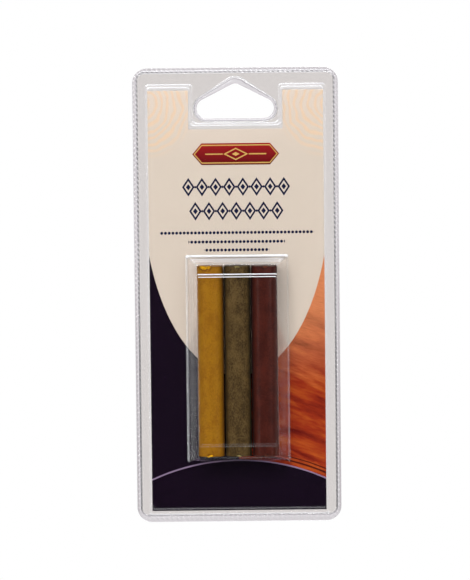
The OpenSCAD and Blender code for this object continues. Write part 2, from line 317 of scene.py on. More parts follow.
shell = {
    "thickness": 0.4,
    "clear": 0.02,  # the sheets touch neither each other nor the card
    "outline": (40.66, -176.14, 8.05, 2.95),
    "outlineSteps": 8,
    "holeSteps": 16,
    "band": (0.5, 0.18),  # the line of painted highlight inside a weld, slim where the pocket comes close
    "bandSection": (  # share across it, ridge, painted highlight, painted highlight where it faces down, painted shade
        (0, 0.0, 0.0, 0.0, 0.9), (0.35, 0.02, 0.3, 0.3, 0.6),
        (0.75, 0.05, 1.0, 1.2, 0.0), (1, 0.0, 0.0, 0.0, 0.0),
    ),
    "backRim": ((0, 0.5), (0.3, 0.0)),  # inset and painted highlight along the back sheet's rim
    "pocketRise": 1.0,
    "pocketSteps": 6,
    "pocket": {"halfWidth": 37.255, "top": 3.4, "bottom": -175.89, "notchHalf": 17.7, "notchFloor": -12.7},
    "pocketRun": {"side": 1.35, "top": 2.4, "foot": 3.9, "notch": 1.9},
    "pocketFold": (  # share of the run, share of the rise, painted highlight, and painted highlight where it faces down
        (0.0, 0.0, 0.0, 1.0), (0.03, 0.01, 0.35, 0.8), (0.07, 0.03, 0.95, 0.1), (0.12, 0.09, 0.95, 0.0),
        (0.17, 0.18, 0.35, 0.0), (0.23, 0.30, 0.22, 0.0), (0.30, 0.46, 0.2, 0.0), (0.38, 0.64, 0.2, 0.0),
        (0.46, 0.80, 0.25, 0.0), (0.52, 0.89, 0.55, 0.05), (0.57, 0.94, 1.0, 0.15), (0.63, 0.97, 0.95, 0.15),
        (0.69, 0.985, 0.45, 0.05), (0.80, 0.993, 0.25, 0.0), (1.0, 1.0, 0.0, 0.0),
    ),
    "pocketRadius": 1.3,
    "notchRadius": 2.0,
    "bubbleMiddle": -110.804,
    "bubbleHalf": (20.86, 42.88),
    "bubbleRun": (3.9, 2.7),
    "bubbleRadius": 1.0,
    "bubbleSteps": 6,
    "bubbleRise": 10.5,
    "mitre": 0.3,  # painted highlight on the bubble's corners
    "mitreEnd": 0.25,  # below the crown
    "footFillet": 0.9,
    "edgeFillet": 0.8,
    "filletSteps": 8,
    "footFold": (2.4, 1.3, 2),  # painted highlight, where it peaks, and the most there is of it
    "crownFold": (0.6, 0.3, 3),  # painted highlight, painted highlight where it faces down, and where it peaks
    "streaks": (  # share of the way up a wall, painted highlight streak
        (0.04, 0.5), (0.08, 0.15), (0.13, 0.0), (0.24, 0.1), (0.29, 0.7), (0.42, 0.8), (0.47, 0.6),
        (0.52, 0.06), (0.56, 0.06), (0.60, 0.7), (0.68, 0.7), (0.73, 0.2), (0.80, 0.06), (0.94, 0.1),
    ),
    "faceMiddle": -110.5,
    "faceStep": (36.0, 34.5),  # the step up to the raised face starts and ends here, from its middle
    "faceRise": 1.0,
    "faceCuts": 15,
    "faceFold": (2.2, 0.14),  # painted highlight on the upper and on the lower step
    "foldSpot": 0.14,  # where a bend's painted highlight peaks, as a share of its run
    "sharpAngle": 40,
}


def climb(share):
    return (1 - math.cos(math.pi * min(max(share, 0), 1))) / 2


def foldAt(share):  # the face gets a painted highlight along both bends of its step
    spot = shell["foldSpot"]
    return max(0, 1 - min(abs(share - spot), abs(1 - spot - share)) / spot)


def pocketArcs(share):
    size, run = shell["pocket"], shell["pocketRun"]
    x = size["halfWidth"] - run["side"] * share
    top = size["top"] - run["top"] * share
    bottom = size["bottom"] + run["foot"] * share
    inner = size["notchHalf"] + run["notch"] * share
    floor = size["notchFloor"] - run["notch"] * share
    r, s = shell["pocketRadius"], shell["notchRadius"]
    return [
        (r - x, bottom + r, r, 180, 270), (x - r, bottom + r, r, 270, 360),
        (x - r, top - r, r, 0, 90), (inner + r, top - r, r, 90, 180),
        (inner - s, floor + s, s, 0, -90), (s - inner, floor + s, s, 270, 180),
        (-inner - r, top - r, r, 0, 90), (r - x, top - r, r, 90, 180),
    ]


def foldedWall(run, rise):  # (inset, height, painted highlight, painted highlight where it faces down) from the foot to the crown
    slope = math.atan2(rise, run)
    footFillet, edgeFillet = shell["footFillet"], shell["edgeFillet"]
    foot = footFillet * math.tan(slope / 2)
    crown = edgeFillet * math.tan(slope / 2)
    low, high = foot * math.sin(slope), crown * math.sin(slope)
    shares = [i / shell["filletSteps"] for i in range(shell["filletSteps"] + 1)]
    footFold, footPeak, footMost = shell["footFold"]
    rising = [
        (footFillet * math.sin(slope * t) - foot, footFillet * (1 - math.cos(slope * t)),
         min(footMost, footFold * math.sin(math.pi * t ** footPeak)), 0.0)
        for t in shares
    ]
    heights = [low + (rise - low - high) * share for share, _ in shell["streaks"]]
    wall = [(height / rise * run, height, foldHighlight, 0.0) for height, (_, foldHighlight) in zip(heights, shell["streaks"])]
    crownFold, crownLow, crownPeak = shell["crownFold"]
    easing = []
    for t in reversed(shares):
        inset = run + crown - edgeFillet * math.sin(slope * t)
        height = rise - edgeFillet * (1 - math.cos(slope * t))
        bright = math.sin(math.pi * t ** crownPeak)
        easing.append((inset, height, crownFold * bright, crownLow * bright))
    return rising + wall + easing


def addBubble(bm, depth):  # walls, rounded front edges, lands and the raised face
    middle = shell["bubbleMiddle"]
    (halfX, halfZ), (runX, runZ) = shell["bubbleHalf"], shell["bubbleRun"]
    mean = (runX + runZ) / 2
    rise = shell["bubbleRise"]
    loops = []
    for inset, height, foldHighlight, low in foldedWall(mean, rise):
        x, z = halfX - inset * runX / mean, halfZ - inset * runZ / mean
        arcs = boxArcs(x, middle - z, middle + z, shell["bubbleRadius"])
        mitre = shell["mitre"] if 0 < height < rise - shell["mitreEnd"] else 0
        loops.append(arcLoop(bm, arcs, depth + height, shell["bubbleSteps"], foldHighlight, mitre, low))
    stackLoops(bm, loops)
    bmesh.ops.contextual_create(bm, geom=loops[-1])
    middle = shell["faceMiddle"]
    start, end = shell["faceStep"]
    for i in range(shell["faceCuts"]):
        for side in (-1, 1):
            cut = (middle + side * (end + (start - end) * i / (shell["faceCuts"] - 1))) * mm
            bmesh.ops.bisect_plane(
                bm, geom=bm.verts[:] + bm.edges[:] + bm.faces[:], dist=1e-7,
                plane_co=(0, 0, cut), plane_no=(0, 0, 1),
            )
    mark = bm.verts.layers.float["foldHighlight"]
    crown = depth + rise - shell["edgeFillet"]
    lean = runX / rise * shell["faceRise"]
    upperFold, lowerFold = shell["faceFold"]
    for v in bm.verts:
        if -v.co.y / mm < crown:
            continue
        share = (start - abs(v.co.z / mm - middle)) / (start - end)
        if 0 < share < 1 and -v.co.y / mm > depth + rise - 0.001:
            v[mark] = foldAt(share) * (upperFold if v.co.z / mm > middle else lowerFold)
        v.co.y -= shell["faceRise"] * climb(share) * mm
        v.co.x -= math.copysign(lean * climb(share), v.co.x) * mm
    return [e for e in bm.edges if e.is_boundary]


def newSheetMesh():  # with the attributes that paint its highlights and its shade
    bm = bmesh.new()
    bm.verts.layers.float.new("foldHighlight")
    bm.verts.layers.float.new("grooveShade")
    return bm


def addWall(piece, thickness):  # the sheet's thickness, behind its front
    wall = piece.modifiers.new("sheetWall", "SOLIDIFY")
    wall.thickness = thickness * mm
    wall.offset = -1
    wall.use_even_offset = True
    smoothPiece(piece, shell["sharpAngle"])


def buildFrontShell(material):
    front = shell["thickness"] + shell["clear"]
    bm = newSheetMesh()
    bubbleFoot = addBubble(bm, front + shell["pocketRise"])
    walls = [
        arcLoop(bm, pocketArcs(t), front + shell["pocketRise"] * height, shell["pocketSteps"], foldHighlight, low=low)
        for t, height, foldHighlight, low in shell["pocketFold"]
    ]
    stackLoops(bm, walls)
    bmesh.ops.triangle_fill(bm, edges=walls[-1] + bubbleFoot, use_beauty=True)
    halfWidth, bottom, top, radius = shell["outline"]
    outline, hole = [], []
    for t, ridge, foldHighlight, low, dim in shell["bandSection"]:
        wide, slim = [width * t for width in shell["band"]]
        arcs = boxArcs(halfWidth - wide, bottom + slim, top - wide, radius - wide)
        outline.append(arcLoop(bm, arcs, front + ridge, shell["outlineSteps"], foldHighlight, low=low, dim=dim))
        arcs = sheetHoleArcs(slim, wide)
        hole.append(arcLoop(bm, arcs, front + ridge, shell["holeSteps"], foldHighlight, dim=dim / 2))
    stackLoops(bm, outline)
    stackLoops(bm, hole)
    bmesh.ops.triangle_fill(bm, edges=outline[-1] + hole[-1] + walls[0], use_beauty=True)
    bmesh.ops.remove_doubles(bm, verts=bm.verts, dist=1e-6)
    facesForward(bm)
    piece = newPiece("frontShell", bm, material)
    addWall(piece, shell["thickness"])
    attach(piece, "pack")
    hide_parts("front_shell")


def buildBackShell(material):
    halfWidth, bottom, top, radius = shell["outline"]
    clear = shell["clear"]
    bm = newSheetMesh()
    outline, hole = [], []
    for inset, foldHighlight in shell["backRim"]:
        arcs = boxArcs(halfWidth - inset, bottom + inset, top - inset, radius - inset)
        outline.append(arcLoop(bm, arcs, -clear, shell["outlineSteps"], foldHighlight))
        hole.append(arcLoop(bm, sheetHoleArcs(inset, inset), -clear, shell["holeSteps"], foldHighlight))
    stackLoops(bm, outline)
    stackLoops(bm, hole)
    bmesh.ops.triangle_fill(bm, edges=outline[-1] + hole[-1], use_beauty=True)
    bmesh.ops.remove_doubles(bm, verts=bm.verts, dist=1e-6)
    facesForward(bm)
    piece = newPiece("backShell", bm, material)
    addWall(piece, shell["thickness"] - clear)
    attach(piece, "pack")
    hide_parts("back_shell")


# the welds: a section carried round between two outlines, with a knurled bead

edgeWeld = {
    "outer": (42.505, -178.99, 9.9, 6.2),
    "inner": (40.705, -176.19, 8.1, 3.0),
    "step": 0.25,
    "pitch": 2.0,
    "knurl": 0.36,  # how deep it is cut
    "valley": 1.5,  # above 1, the valleys are narrower than the teeth
    "skew": 0.4,
    "footTeeth": 0.8,  # further painted highlight on the teeth along the foot
    "sharpAngle": 60,
    # share of the way in, depth in front of the seam, share of the knurl, painted highlight on the teeth,
    # painted highlight where it faces up, painted shade
    "section": [
        (0.985, -0.40, 0, 0, 0, 0), (0.50, -0.40, 0, 0, 0, 0), (0.02, -0.40, 0, 0, 0, 0),
        (0.00, -0.38, 0, 0, 0, 0), (0.00, 0.00, 0, 0, 0, 0), (0.00, 0.30, 0, 0, 0, 0.3),
        (0.015, 0.40, 0.1, 0, 0, 0.2),
        (0.06, 0.46, 0.3, 0, 0, 0.15), (0.18, 0.49, 0.4, 0, 0, 0.25), (0.34, 0.51, 0.5, 0, 0, 0.3),
        (0.50, 0.54, 0.7, 0, 0.2, 0.15), (0.59, 0.60, 0.9, 0.05, 0.5, 0.05), (0.67, 0.67, 1, 0.1, 0.8, 0),
        (0.74, 0.70, 1, 0.1, 0.9, 0), (0.79, 0.67, 1, 0, 0.3, 0.3), (0.84, 0.52, 0.9, 0, 0, 0.8),
        (0.885, 0.32, 0.6, 0, 0, 1), (0.925, 0.16, 0.2, 0, 0, 1), (0.96, 0.11, 0, 0, 0, 1),
        (0.985, 0.36, 0, 0, 0, 0.9),
    ],
}
rimWeld = {
    "step": 0.2,
    "pitch": 1.25,
    "knurl": 0.2,
    "valley": 1.5,
    "skew": 0.0,
    "footTeeth": 0.0,
    "sharpAngle": 60,
    "section": [
        (0.97, -0.40, 0, 0, 0, 0), (0.50, -0.40, 0, 0, 0, 0), (0.03, -0.40, 0, 0, 0, 0),
        (0.00, -0.37, 0, 0, 0, 0), (0.00, 0.10, 0, 0, 0, 0), (0.00, 0.46, 0.3, 0, 0, 0.5),
        (0.05, 0.55, 1, 0, 0, 0.5), (0.14, 0.63, 1, 0.05, 0, 0.1),
        (0.26, 0.68, 0.4, 0.2, 0.2, 0), (0.40, 0.71, 0, 0.3, 0.4, 0), (0.54, 0.70, 0, 0.2, 0.1, 0.1),
        (0.63, 0.63, 0, 0, 0, 0.6), (0.71, 0.48, 0, 0, 0, 0.9), (0.79, 0.31, 0, 0, 0, 0.8),
        (0.86, 0.24, 0, 0.2, 0, 0.3), (0.92, 0.27, 0, 0.5, 0, 0), (0.97, 0.35, 0, 0.5, 0, 0),
    ],
}


def arcPoint(arc, angle):
    x, z, radius = arc[:3]
    a = math.radians(angle)
    return Vector((x + radius * math.cos(a), z + radius * math.sin(a)))


def outlineStations(arcs, counts):  # points along an outline: each arc, then the straight side after it
    points = []
    for i, arc in enumerate(arcs):
        (arcCount, sideCount), (first, last) = counts[i], arc[3:]
        ends = [arcPoint(arc, first + (last - first) * k / arcCount) for k in range(arcCount + 1)]
        following = arcs[(i + 1) % len(arcs)]
        target = arcPoint(following, following[3])
        points += ends
        points += [ends[-1].lerp(target, k / sideCount) for k in range(1, sideCount)]
    return points


def stationCounts(arcs, step):
    counts = []
    for i, arc in enumerate(arcs):
        _, _, radius, first, last = arc
        following = arcs[(i + 1) % len(arcs)]
        side = (arcPoint(following, following[3]) - arcPoint(arc, last)).length
        arcLength = radius * math.radians(abs(last - first))
        counts.append((max(6, round(arcLength / step)), max(2, round(side / step))))
    return counts


def buildWeld(name, look, outerArcs, innerArcs, node, material):
    counts = stationCounts(outerArcs, look["step"])
    outer, inner = outlineStations(outerArcs, counts), outlineStations(innerArcs, counts)
    run = [0.0]
    for i in range(len(outer)):
        run.append(run[-1] + (outer[(i + 1) % len(outer)] - outer[i]).length)
    knurls = round(run[-1] / look["pitch"])
    section = look["section"] + look["section"][:1]
    bm = newSheetMesh()
    mark, shade = bm.verts.layers.float["foldHighlight"], bm.verts.layers.float["grooveShade"]
    bmesh.ops.create_grid(bm, x_segments=len(outer), y_segments=len(section) - 1, size=0.5)
    for v in bm.verts:
        i = round((v.co.x + 0.5) * len(outer))
        share, depth, grip, foldHighlight, lit, dim = section[round((v.co.y + 0.5) * (len(section) - 1))]
        place = outer[i % len(outer)].lerp(inner[i % len(outer)], share)
        outward = (outer[i % len(outer)] - inner[i % len(outer)]).normalized()
        phase = run[i] / run[-1] * knurls + look["skew"] * share
        valley = (0.5 + 0.5 * math.cos(math.tau * phase)) ** look["valley"]
        # painted highlight on the teeth, along the foot and where the weld faces up; painted shade in the
        # groove
        teeth = foldHighlight + look["footTeeth"] * grip * (1 - share) * max(0, -outward.y)
        v[mark] = teeth * (1 - valley * (1 if grip else 0)) + max(0, lit * outward.y)
        v[shade] = dim * groovePart(outward.y)
        v.co = Vector((place.x, -(depth - look["knurl"] * grip * valley), place.y)) * mm
    bmesh.ops.remove_doubles(bm, verts=bm.verts, dist=1e-7)
    bmesh.ops.recalc_face_normals(bm, faces=bm.faces)
    piece = newPiece(name, bm, material)
    smoothPiece(piece, look["sharpAngle"])
    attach(piece, "pack")
    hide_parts(node)


def sheetRipple():  # the slight unevenness of formed sheet, as a normal
    group = bpy.data.node_groups.new("sheetRipple", "ShaderNodeTree")
    for name in ("Size", "Depth"):
        group.interface.new_socket(name, in_out="INPUT", socket_type="NodeSocketFloat")
    group.interface.new_socket("Normal", in_out="OUTPUT", socket_type="NodeSocketVector")
    given = group.nodes.new("NodeGroupInput")
    result = group.nodes.new("NodeGroupOutput")
    slow = put(group, "TexNoise", {
        "Vector": objectMillimetres(group), "Scale": given.outputs["Size"], "Detail": 2.0, "Roughness": 0.45,
    }).outputs[0]
    bump = put(group, "Bump", {"Height": slow, "Strength": 1.0, "Distance": given.outputs["Depth"]})
    group.links.new(bump.outputs[0], result.inputs["Normal"])
    return group


clearLook = {
    "through": ink(252, 252, 252),  # what one face lets through, head on
    "aslant": ink(250, 250, 251),  # and where it turns away
    "turn": (0.0, 0.9),
    "grooveShade": ink(66, 61, 72),  # painted shade: what gets through along a weld's groove
    "dots": 2.0,  # mm from one dark dot of it to the next
    "dotEdge": (0.12, 0.34),  # where a dot ends and begins, as a share of that
    "dotted": 0.2,  # what is left of it between two dots, where it is most broken
    "whole": 0.75,  # and where it is least broken
    "brokenLevel": (-65, -25),  # it is least broken below the first and most broken above the second
    "levelWander": 60.0,
    "wanderSize": 0.04,
    "roughness": 0.13,
    "gloss": (0.05, 0.95, 7.0),  # what a face mirrors head on, what it gains aslant, and how late
    "haze": (0.0, 0.02, 3.0),  # milkiness head on, what it gains aslant, and how late
    "highlightHaze": 0.5,  # milkiness gained where a bend carries painted highlight
    "milkAndHighlight": ink(246, 248, 252),
    "rippleSize": 0.09,
    "rippleDepth": 0.00008,
}
backLook = dict(clearLook, through=ink(246, 243, 242))
weldLook = dict(
    clearLook, through=ink(238, 235, 237), aslant=ink(216, 214, 220), grooveShade=ink(26, 22, 32),
    haze=(0.02, 0.0, 3.0), highlightHaze=0.6, roughness=0.24, rippleSize=0.6, rippleDepth=0.00003,
)
rimLook = dict(weldLook, grooveShade=ink(96, 91, 100), dots=1.25)


def clearPlastic(name, look, ripple):
    material, tree = newMaterial(name)
    made = tree.nodes.new("ShaderNodeGroup")
    made.node_tree = ripple
    made.inputs["Size"].default_value = look["rippleSize"]
    made.inputs["Depth"].default_value = look["rippleDepth"]
    facing = put(tree, "LayerWeight", {"Blend": 0.5}).outputs["Facing"]
    frontGloss, slopeGloss, late = look["gloss"]
    gloss = maths(tree, "MULTIPLY_ADD", maths(tree, "POWER", facing, late), slopeGloss, frontGloss)
    tint = layer(tree, look["through"], look["aslant"], spread(tree, facing, *look["turn"]))
    # painted shade along the welds' grooves, broken into dots
    grooveShade = put(tree, "Attribute", attribute_name="grooveShade").outputs["Fac"]
    axes = put(tree, "SeparateXYZ", {0: objectMillimetres(tree)})
    along = maths(tree, "DIVIDE", maths(tree, "ADD", axes.outputs["X"], axes.outputs["Z"]), look["dots"])
    dotted = maths(tree, "ABSOLUTE", maths(tree, "SUBTRACT", maths(tree, "FRACT", along), 0.5))
    drift = put(tree, "TexNoise", {
        "Vector": objectMillimetres(tree), "Scale": look["wanderSize"], "Detail": 1.0,
    }).outputs[0]
    level = maths(tree, "MULTIPLY_ADD", drift, look["levelWander"], axes.outputs["Z"])
    between = spread(tree, level, *look["brokenLevel"], look["whole"], look["dotted"])
    grooveShade = maths(tree, "MULTIPLY", grooveShade, spread(tree, dotted, *look["dotEdge"], between, 1.0))
    clear = put(tree, "BsdfTransparent", {"Color": layer(tree, tint, look["grooveShade"], grooveShade)})
    milkAndHighlight = put(tree, "BsdfDiffuse", {"Color": look["milkAndHighlight"]})
    # painted highlight along the bends, shown as milky whitening; the milk colour also gives real haze
    foldHighlight = put(tree, "Attribute", attribute_name="foldHighlight").outputs["Fac"]
    frontHaze, slopeHaze, late = look["haze"]
    cloudy = maths(tree, "MULTIPLY_ADD", maths(tree, "POWER", facing, late), slopeHaze, frontHaze)
    cloudy = maths(tree, "MULTIPLY_ADD", foldHighlight, look["highlightHaze"], cloudy)
    sheet = put(tree, "MixShader", {0: cloudy, 1: clear.outputs[0], 2: milkAndHighlight.outputs[0]})
    mirror = put(tree, "BsdfGlossy", {
        "Color": (1, 1, 1, 1), "Roughness": look["roughness"], "Normal": made.outputs["Normal"],
    })
    finishMaterial(tree, put(tree, "MixShader", {0: gloss, 1: sheet.outputs[0], 2: mirror.outputs[0]}))
    return material


# the printed card

cardInk = {
    # the cream is lighter at the top and darker lower down: painted shade
    "creamPaintedLit": ink(236, 220, 206),
    "creamPaintedShade": ink(226, 212, 197),
    "peach": ink(246, 212, 174),
    "navy": ink(22, 9, 27),
    "marks": ink(26, 30, 62),
    "maroonTop": ink(164, 30, 32),
    "maroonLow": ink(98, 16, 22),
    "gold": ink(224, 182, 100),
    "woodPale": ink(226, 140, 92),
    "woodLight": ink(196, 88, 32),
    "woodMid": ink(160, 50, 22),
    "woodDark": ink(104, 20, 14),
    "inlay": ink(46, 12, 12),
    "line": ink(150, 128, 158),
    "board": ink(222, 214, 200),
}
cardLayout = {  # mm in the pack's own plane
    "creamShadeFade": (0, -26),
    "ringCentre": (39.5, -5.0),
    "ringPitch": 2.7,
    "ringLine": (0.55, 0.25),  # half width and soft edge
    "ringReach": (21.0, 2.5),
    "ringWander": (0.10, 6.0),  # how fine and how far a ring wanders
    "ringStrength": 0.65,
    "plaque": (-25.8, 18.0, 4.5),  # middle, half width, half height
    "plaquePoint": 0.85,  # how far its ends are drawn out
    "plaqueTrim": (0.85, 0.22),  # inset and half width of its keyline
    "plaqueLozenge": (0.5, 2.3, 0.8, 0.25),  # slope, half height, its core's, half its line
    "plaqueRule": (9.0, 3.6, 0.24),  # middle, half length and half width of the two rules beside it
    "borders": ((-39.4, 22.6, 0.5), (-49.4, 19.775, 0.0)),  # middle, half width, shift in periods
    "borderPitch": 5.65,
    "lozenge": (1.5, 3.9, 0.7, 0.68),  # slope, half height, inset and half width of its line
    "lozengeCore": (1.3, 1.3),  # slope, half height
    "link": (0.62, 0.7),  # half height of a link between two, and how far short of the end links stop
    "rules": ((-58.4, 32.0), (-62.2, 20.0), (-65.6, 13.5)),
    "rulePitch": 1.55,
    "bead": 0.62,
    "backFrame": (31.5, -92.0, 68.0),  # half width, middle, half height of the keylines on the back
    "backKeylines": ((0.0, 0.4), (1.6, 0.18)),  # inset, half width
    "backBorders": (-86.0, -134.0),
    "backBorderHalf": 19.775,
    "backLozenge": (3.0, 0.6, 0.5),  # half height, inset and half width of its line
    "backRules": ((-98.0, 24.8), (-104.0, 24.8), (-110.0, 24.8), (-116.0, 24.8), (-122.0, 14.0)),
    "backBead": 0.5,
    "creamMiddle": -42.0,
    "creamHalf": (38.6, 76.0),
    "fieldTop": 10,  # the colour fields start this far below the cream oval's middle
    "arch": (-240.0, 86.6),  # centre and radius of the line that crosses the foot
    "archLine": 0.3,
    "inlays": ((2.1, 0.35), (3.6, 0.22)),  # height above the arch, half width
    "inlayStrength": 0.85,
}
board = {"rough": 0.24, "gloss": 0.2, "fibre": (1.6, 0.15, 0.0001)}  # scale, strength and height


def printedCard():
    material, tree = newMaterial("printedCard")
    place = objectMillimetres(tree)
    axes = put(tree, "SeparateXYZ", {0: place})
    x, z = axes.outputs["X"], axes.outputs["Z"]
    side = maths(tree, "ABSOLUTE", x)
    lay = cardLayout

    def height(middle):  # distance above or below a level
        return maths(tree, "ABSOLUTE", maths(tree, "SUBTRACT", z, middle))

    def reach(level, half):  # signed distance to a half size
        return maths(tree, "SUBTRACT", level, half)

    def both(*masks):
        return maths(tree, "MINIMUM", *masks)

    def either(*masks):
        return maths(tree, "MAXIMUM", *masks)

    def stripe(level, half):
        return within(tree, reach(maths(tree, "ABSOLUTE", level), half))

    def outlineOf(distance, inset, half):  # a line of a given half width inside an edge
        return stripe(maths(tree, "ADD", distance, inset), half)

    def repeat(pitch, shift):  # distance along from the middle of the nearest period
        turn = maths(tree, "FRACT", maths(tree, "ADD", maths(tree, "DIVIDE", x, pitch), 100.5 + shift))
        return maths(tree, "MULTIPLY", maths(tree, "ABSOLUTE", maths(tree, "SUBTRACT", turn, 0.5)), pitch)

    def lengthOf(across, up):
        return put(tree, "VectorMath", {
            0: put(tree, "CombineXYZ", {0: across, 2: up}).outputs[0],
        }, operation="LENGTH").outputs["Value"]

    def beadRow(middle, half, radius):  # half is half the row's length
        bead = lengthOf(repeat(lay["rulePitch"], 0), height(middle))
        return both(within(tree, reach(bead, radius)), within(tree, reach(side, half)))

    # painted shade: the cream darkens towards the bottom
    colour = layer(tree, cardInk["creamPaintedLit"], cardInk["creamPaintedShade"], spread(tree, z, *lay["creamShadeFade"]))

    # growth rings in the two ears
    cx, cz = lay["ringCentre"]
    away = lengthOf(reach(side, cx), maths(tree, "SUBTRACT", z, cz))
    (half, soft), (outermost, fade) = lay["ringLine"], lay["ringReach"]
    fineness, far = lay["ringWander"]
    wander = put(tree, "TexNoise", {"Vector": place, "Scale": fineness, "Detail": 2.0}).outputs[0]
    ringed = maths(tree, "MULTIPLY_ADD", wander, far, away)
    phase = maths(tree, "FRACT", maths(tree, "DIVIDE", ringed, lay["ringPitch"]))
    offLine = maths(tree, "ABSOLUTE", maths(tree, "SUBTRACT", phase, 0.5))
    ringLine = reach(maths(tree, "MULTIPLY", offLine, lay["ringPitch"]), half)
    rings = both(within(tree, ringLine, soft), within(tree, reach(away, outermost), fade))
    colour = layer(tree, colour, cardInk["peach"], maths(tree, "MULTIPLY", rings, lay["ringStrength"]))

    # plaque with a gold keyline
    middle, half, tall = lay["plaque"]
    up = height(middle)
    pointed = maths(tree, "MULTIPLY_ADD", up, lay["plaquePoint"], side)
    edge = either(reach(up, tall), reach(pointed, half))
    shade = spread(tree, z, middle - tall, middle + tall)
    maroon = layer(tree, cardInk["maroonLow"], cardInk["maroonTop"], shade)
    colour = layer(tree, colour, maroon, within(tree, edge))
    slope, outer, core, line = lay["plaqueLozenge"]
    slant = maths(tree, "MULTIPLY_ADD", side, slope, up)
    ruleAt, ruleHalf, ruleLine = lay["plaqueRule"]
    rule = both(within(tree, reach(up, ruleLine)), stripe(reach(side, ruleAt), ruleHalf))
    trim = either(outlineOf(edge, *lay["plaqueTrim"]), outlineOf(reach(slant, outer), 0.0, line))
    trim = either(either(trim, within(tree, reach(slant, core))), rule)
    colour = layer(tree, colour, cardInk["gold"], trim)

    # two borders of lozenges and three rows of beads
    marks = 0.0
    slope, outer, inset, line = lay["lozenge"]
    coreSlope, core = lay["lozengeCore"]
    link, short = lay["link"]
    for middle, half, shift in lay["borders"]:
        up = height(middle)
        along = repeat(lay["borderPitch"], shift)
        lozenge = outlineOf(reach(maths(tree, "MULTIPLY_ADD", along, slope, up), outer), inset, line)
        heart = within(tree, reach(maths(tree, "MULTIPLY_ADD", along, coreSlope, up), core))
        between = reach(maths(tree, "ADD", repeat(lay["borderPitch"], shift + 0.5), up), link)
        between = both(within(tree, between), within(tree, reach(side, half - short)))
        shapes = both(either(lozenge, heart), within(tree, reach(side, half)))
        marks = either(marks, either(shapes, between))
    for middle, half in lay["rules"]:
        marks = either(marks, beadRow(middle, half, lay["bead"]))
    colour = layer(tree, colour, cardInk["marks"], marks)

    # colour fields round the foot: navy at the left and below the arch, veneer at the right
    halfX, halfZ = lay["creamHalf"]
    ovalEdge = lengthOf(
        maths(tree, "DIVIDE", x, halfX),
        maths(tree, "DIVIDE", maths(tree, "SUBTRACT", z, lay["creamMiddle"]), halfZ),
    )
    low = within(tree, maths(tree, "SUBTRACT", z, lay["creamMiddle"] - lay["fieldTop"]))
    field = both(within(tree, maths(tree, "SUBTRACT", 1.0, ovalEdge), 0.001), low)
    archAt, archRadius = lay["arch"]
    archEdge = reach(lengthOf(x, maths(tree, "SUBTRACT", z, archAt)), archRadius)
    veneer = veneerColour(tree, x, z)
    for offset, half in lay["inlays"]:
        inlay = stripe(reach(archEdge, offset), half)
        veneer = layer(tree, veneer, cardInk["inlay"], maths(tree, "MULTIPLY", inlay, lay["inlayStrength"]))
    veneer = layer(tree, veneer, cardInk["navy"], within(tree, x))
    veneer = layer(tree, veneer, cardInk["navy"], within(tree, archEdge))
    veneer = layer(tree, veneer, cardInk["line"], stripe(archEdge, lay["archLine"]))
    colour = layer(tree, colour, veneer, field)

    # the back: two keylines, the plaque, borders and rows of beads on uncoated board
    halfX, middle, halfZ = lay["backFrame"]
    frameEdge = either(reach(side, halfX), reach(height(middle), halfZ))
    marks = either(*[outlineOf(frameEdge, *keyline) for keyline in lay["backKeylines"]])
    outer, inset, line = lay["backLozenge"]
    for middle in lay["backBorders"]:
        along = repeat(lay["borderPitch"], 0.0)
        level = maths(tree, "MULTIPLY_ADD", along, slope, height(middle))
        lozenge = outlineOf(reach(level, outer), inset, line)
        marks = either(marks, both(lozenge, within(tree, reach(side, lay["backBorderHalf"]))))
    for middle, half in lay["backRules"]:
        marks = either(marks, beadRow(middle, half, lay["backBead"]))
    back = layer(tree, cardInk["board"], cardInk["marks"], marks)
    back = layer(tree, back, maroon, within(tree, edge))
    back = layer(tree, back, cardInk["gold"], trim)

    # cut edges are plain board too
    facing = put(tree, "SeparateXYZ", {0: put(tree, "NewGeometry").outputs["Normal"]}).outputs["Y"]
    printed = within(tree, maths(tree, "ADD", facing, 0.5), 0.1)
    behind = within(tree, maths(tree, "SUBTRACT", 0.5, facing), 0.1)
    colour = layer(tree, layer(tree, cardInk["board"], back, behind), colour, printed)
    scale, strength, depth = board["fibre"]
    fibre = put(tree, "TexNoise", {"Vector": place, "Scale": scale, "Detail": 4.0, "Roughness": 0.6})
    bump = put(tree, "Bump", {"Height": fibre.outputs[0], "Strength": strength, "Distance": depth})
    paper = put(tree, "BsdfPrincipled", {
        "Base Color": colour, "Roughness": board["rough"], "Normal": bump.outputs[0],
    })
    paper.inputs["Specular IOR Level"].default_value = board["gloss"]
    finishMaterial(tree, paper)
    return material


veneerGrain = {
    "cloud": (0.05, 0.08, 0.22, 6.0, 0.6),  # across, slant, up, detail and roughness of the slow wander
    "pores": (0.22, 1.1, 3.4, 4.0, 0.7),  # and of the pores
    "toMid": (0.34, 0.50),
    "toLight": (0.50, 0.66),
    "paleLevel": (-106, -72),  # paler towards the top
    "paleWander": 30.0,
    "poreEdge": (0.50, 0.72),
    "poreStrength": 0.5,
}


